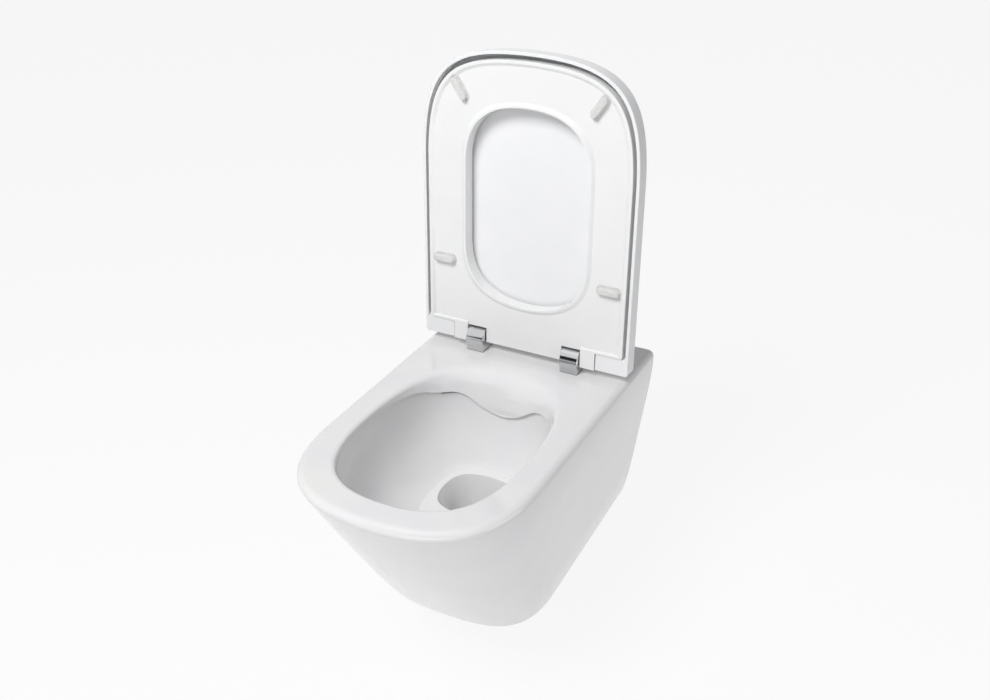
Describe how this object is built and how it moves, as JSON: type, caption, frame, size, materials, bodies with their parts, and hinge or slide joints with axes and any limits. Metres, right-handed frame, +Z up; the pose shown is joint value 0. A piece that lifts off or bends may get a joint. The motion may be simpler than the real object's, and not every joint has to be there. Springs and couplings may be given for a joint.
{
  "type": "wall hung toilet",
  "caption": "Wall hung toilet pan with tapering skirt and rimless bowl, soft-close lid and ring seat on chrome quick-release hinges.",
  "frame": {"origin": "midway between the two wall fixing holes, on the wall plane", "axes": "+X right seen from the front, the front faces -Y, +Y into the wall, +Z up"},
  "size_m": [0.347, 0.5458, 0.7536],
  "materials": {
    "pan_glaze": "gloss glaze",
    "lid_plastic": "gloss",
    "seat_plastic": "gloss",
    "bumper_rubber": "soft satin",
    "hinge_chrome": "polished",
    "stainless_steel": "satin",
    "nylon": "matt",
    "gasket_rubber": "matt",
    "nut_brass": "satin"
  },
  "bodies": {
    "pan": {"pan": "pan_glaze", "hinge_base_left": "stainless_steel", "hinge_base_right": "stainless_steel", "hinge_gasket_left": "gasket_rubber", "hinge_gasket_right": "gasket_rubber", "mounting_screw_left": "stainless_steel", "mounting_screw_right": "stainless_steel", "expansion_plug_left": "gasket_rubber", "expansion_plug_right": "gasket_rubber", "plug_nut_left": "nut_brass", "plug_nut_right": "nut_brass", "wall_sleeves": "nylon", "wall_washers": "stainless_steel", "wall_nuts": "stainless_steel"},
    "hinge_posts": {"hinge_post_left": "hinge_chrome", "hinge_post_right": "hinge_chrome", "damper_shaft_left": "stainless_steel", "damper_shaft_right": "stainless_steel", "button_spring_left": "stainless_steel", "button_spring_right": "stainless_steel"},
    "lid": {"lid": "lid_plastic", "lid_bumpers": "bumper_rubber", "damper_housing_right": "nylon", "damper_cap_right": "nylon"},
    "seat": {"seat": "seat_plastic", "seat_bumper_front_left": "bumper_rubber", "seat_bumper_front_right": "bumper_rubber", "seat_bumper_rear_left": "bumper_rubber", "seat_bumper_rear_right": "bumper_rubber", "damper_housing_left": "nylon", "damper_cap_left": "nylon", "knuckle_bush": "nylon"},
    "button_left": {"release_button_left": "hinge_chrome"},
    "button_right": {"release_button_right": "hinge_chrome"}
  },
  "joints": [
    {"name": "seat_lift_off", "type": "slide", "parent": "pan", "child": "hinge_posts", "axis": [0, 0, 1], "range_m": [0, 0.025]},
    {"name": "lid_hinge", "type": "hinge", "parent": "hinge_posts", "child": "lid", "pos_m": [0, -0.1025, 0.0955], "axis": [-1, 0, 0], "range_deg": [-94.9, 0]},
    {"name": "seat_hinge", "type": "hinge", "parent": "lid", "child": "seat", "pos_m": [0, -0.1025, 0.0955], "axis": [1, 0, 0], "range_deg": [0, 94.9]},
    {"name": "release_left", "type": "slide", "parent": "hinge_posts", "child": "button_left", "axis": [0, -1, 0], "range_m": [0, 0.002], "stiffness_N_per_m": 400, "springref_m": -0.003},
    {"name": "release_right", "type": "slide", "parent": "hinge_posts", "child": "button_right", "axis": [0, -1, 0], "range_m": [0, 0.002], "stiffness_N_per_m": 400, "springref_m": -0.003}
  ]
}
